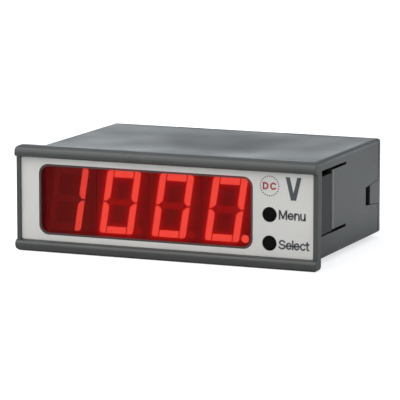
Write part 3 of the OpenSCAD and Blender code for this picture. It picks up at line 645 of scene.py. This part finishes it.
def makeWindowLine(look):
    rim, width, radius = look["rim"] * mm, look["width"] * mm, look["radius"] * mm
    outer = roundedOutline(filterLow, filterHigh, rim, radius)
    inner = roundedOutline(filterLow, filterHigh, rim + width, radius - width)
    mesh = bmesh.new()
    addStrip(mesh, (outer, inner), onFilter, -inkSunk, look["proud"] * mm)
    bmesh.ops.remove_doubles(mesh, verts=mesh.verts, dist=weldGap)
    piece("window_line", mesh, printedInk("window_ink", look["ink"]))


# Terminal numbers, raised on the rear cover above the terminals, in pale ink
poleNumbers = {"ink": (0.42, 0.42, 0.41), "cap": 1.5, "width": 0.9, "stroke": 0.3, "above": 0.7,
               "raised": 0.15, "sunk": 0.05}


def makePoleNumbers(look):
    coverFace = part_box("rear_cover")[1].y
    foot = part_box("input_terminals")[1].z + look["above"] * mm
    cap, width, stroke = look["cap"] * mm, look["width"] * mm, look["stroke"] * mm
    back, front = -look["sunk"] * mm, look["raised"] * mm

    def onCover(x, z, level):     # x runs to the left, so that the numbers read from behind
        return (-x, coverFace + level, z)

    mesh = bmesh.new()
    for number in "1234":     # each above the clamp of that number
        low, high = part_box("clamp_cage_" + number)
        left = -(low.x + high.x) / 2 - width / 2
        addWord(mesh, number, left, foot, cap, width, stroke, onCover, back, front)
    piece("pole_numbers", mesh, printedInk("number_ink", look["ink"]))


makeLegends(legends)
makeKindMark(kindMark)
makeWindowLine(windowLine)
makePoleNumbers(poleNumbers)
print("print on the foil and numbers on the cover made")

# Camera: aim and distance in millimetres, angles in degrees, nearest and furthest in metres
cameraLook = {"aim": (6.38, 2.89, 1.30), "azimuth": 22.64, "elevation": 9.29, "distance": 670.93,
              "lens": 273.7, "sensor": 36, "nearest": 0.01, "furthest": 20}


def makeCamera(look):
    turn, lift = math.radians(look["azimuth"]), math.radians(look["elevation"])
    back = Vector((math.sin(turn) * math.cos(lift), -math.cos(turn) * math.cos(lift), math.sin(lift)))
    data = bpy.data.cameras.new("camera")
    data.lens, data.sensor_width = look["lens"], look["sensor"]
    data.clip_start, data.clip_end = look["nearest"], look["furthest"]
    made = bpy.data.objects.new("camera", data)
    made.rotation_mode = "QUATERNION"
    made.location = Vector(look["aim"]) * mm + back * look["distance"] * mm
    made.rotation_quaternion = (-back).to_track_quat("-Z", "Y")
    bpy.context.scene.collection.objects.link(made)
    bpy.context.scene.camera = made


# Studio: a white horizon, a darker belt above it and a bright ceiling, with two large soft lamps
studio = {"horizon": 1.0, "belt": 0.22, "beltFrom": 0.24, "beltDark": 0.35,
          "ceiling": 1.0, "ceilingFrom": 0.5, "ceilingFull": 0.8, "cool": (0.88, 0.945, 1.0)}
lamps = {"front": {"way": (-0.30, -0.66, 0.69), "away": 0.9, "wide": 0.8, "high": 1.0, "power": 3.5},
         "left": {"way": (-0.86, -0.25, 0.42), "away": 0.9, "wide": 0.4, "high": 0.4, "power": 3.6}}


def makeStudio(look):
    world = bpy.data.worlds.new("studio")
    world.use_nodes = True
    world.node_tree.nodes.clear()
    at = Wire(world.node_tree)
    height = at.node("SeparateXYZ", None, {0: at.node("TexCoord", out="Generated")}, out="Z")
    darker = height.step(look["beltFrom"], look["beltDark"]) * (look["horizon"] - look["belt"])
    brighter = height.step(look["ceilingFrom"], look["ceilingFull"]) * (look["ceiling"] - look["belt"])
    level = look["horizon"] - darker + brighter
    soft = at.node("Background", None, {"Color": look["cool"], "Strength": level})
    plain = at.node("Background", None, {"Color": (1, 1, 1), "Strength": 1.0})
    seen = at.node("LightPath", out="Is Camera Ray")
    at.node("OutputWorld", None, {"Surface": at.node("MixShader", None, {0: seen, 1: soft, 2: plain})})
    bpy.context.scene.world = world


def makeLamp(name, look):
    data = bpy.data.lights.new(name, "AREA")
    data.shape = "RECTANGLE"
    data.size, data.size_y = look["wide"], look["high"]
    data.energy = look["power"]
    lamp = bpy.data.objects.new(name, data)
    way = Vector(look["way"]).normalized()
    lamp.location = way * look["away"]
    lamp.rotation_euler = way.to_track_quat("Z", "Y").to_euler()
    bpy.context.scene.collection.objects.link(lamp)


# Floor: pale paint that the camera sees lifted to white, but for the shadow, and gloss sees so in small part
floorLook = {"size": 6.0, "color": (0.62, 0.62, 0.62), "cloud": 400, "cloudTone": 1.03,
             "lift": 0.68, "glossShare": 0.06}


def makeFloor(look):
    half, level = look["size"] / 2, cadBox[0].z
    mesh = bmesh.new()
    corners = ((-1, -1), (1, -1), (1, 1), (-1, 1))
    mesh.faces.new([mesh.verts.new((x * half, y * half, level)) for x, y in corners])
    data = bpy.data.meshes.new("floor")
    mesh.to_mesh(data)
    mesh.free()
    f = Finish("floor")
    color = f.noise(look["cloud"]).blend(look["color"], shade(look["color"], look["cloudTone"]))
    paint = f.at.node("BsdfDiffuse", None, {"Color": color})
    white = f.at.node("Emission", None, {"Color": (1, 1, 1), "Strength": look["lift"]})
    lifted = f.at.node("AddShader", None, {0: paint, 1: white})
    path = f.at.node("LightPath")
    seen = (path.output("Is Camera Ray") + path.output("Is Glossy Ray") * look["glossShare"]
            + path.output("Is Transmission Ray")).atMost(1)
    data.materials.append(f.show(f.at.node("MixShader", None, {0: seen, 1: paint, 2: lifted})))
    made = bpy.data.objects.new("floor", data)
    bpy.context.scene.collection.objects.link(made)


makeCamera(cameraLook)
makeStudio(studio)
for name, look in lamps.items():
    makeLamp(name + "_lamp", look)
makeFloor(floorLook)
bpy.context.scene.view_settings.view_transform = "Standard"
print("camera, lights and floor made")
